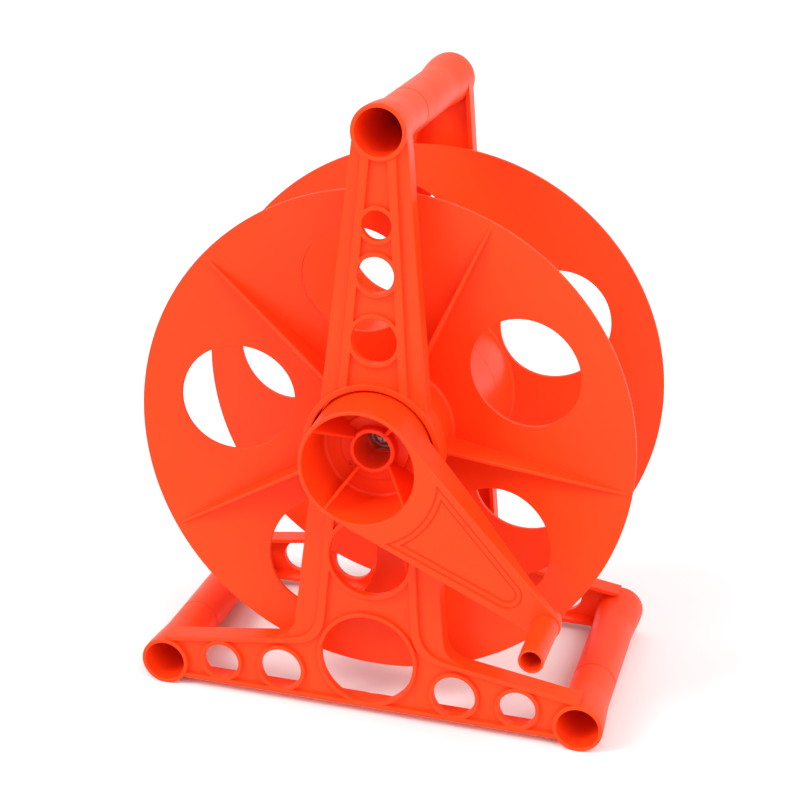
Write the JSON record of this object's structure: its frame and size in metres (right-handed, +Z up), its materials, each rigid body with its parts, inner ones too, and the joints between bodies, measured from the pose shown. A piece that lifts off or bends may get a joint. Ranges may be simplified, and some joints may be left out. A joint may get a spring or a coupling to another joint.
{
  "type": "cord storage reel",
  "caption": "Free-standing hand-cranked cord storage reel: open spool in an A-shaped stand with a carrying tube, and a crank with a turning knob.",
  "frame": {"origin": "centre of the footprint of the whole box, on the surface the two base tubes rest on", "axes": "+Z up, +Y along the axle from the crank side to the far side, +X to the right seen from the crank side"},
  "size_m": [0.304, 0.234, 0.3823],
  "materials": {
    "orange_plastic": "satin moulded",
    "zinc_steel": "bright zinc plated"
  },
  "bodies": {
    "stand": {"front_frame": "orange_plastic", "rear_frame": "orange_plastic", "handle_screw": "zinc_steel", "base_left_screw": "zinc_steel", "base_right_screw": "zinc_steel"},
    "reel": {"front_spool_half": "orange_plastic", "rear_spool_half": "orange_plastic", "spool_screw_1": "zinc_steel", "spool_screw_2": "zinc_steel", "spool_screw_3": "zinc_steel", "spool_screw_4": "zinc_steel", "spool_screw_5": "zinc_steel", "crank": "orange_plastic", "crank_washer": "zinc_steel", "crank_screw": "zinc_steel", "crank_nut": "zinc_steel", "knob_washer": "zinc_steel", "knob_screw": "zinc_steel"},
    "knob_body": {"knob": "orange_plastic"}
  },
  "joints": [
    {"name": "reel_spin", "type": "hinge", "parent": "stand", "child": "reel", "pos_m": [0, 0.035, 0.1765], "axis": [0, 1, 0], "continuous": true},
    {"name": "knob_spin", "type": "hinge", "parent": "reel", "child": "knob_body", "pos_m": [0.11381, -0.0961, 0.09532], "axis": [0, 1, 0], "continuous": true}
  ]
}
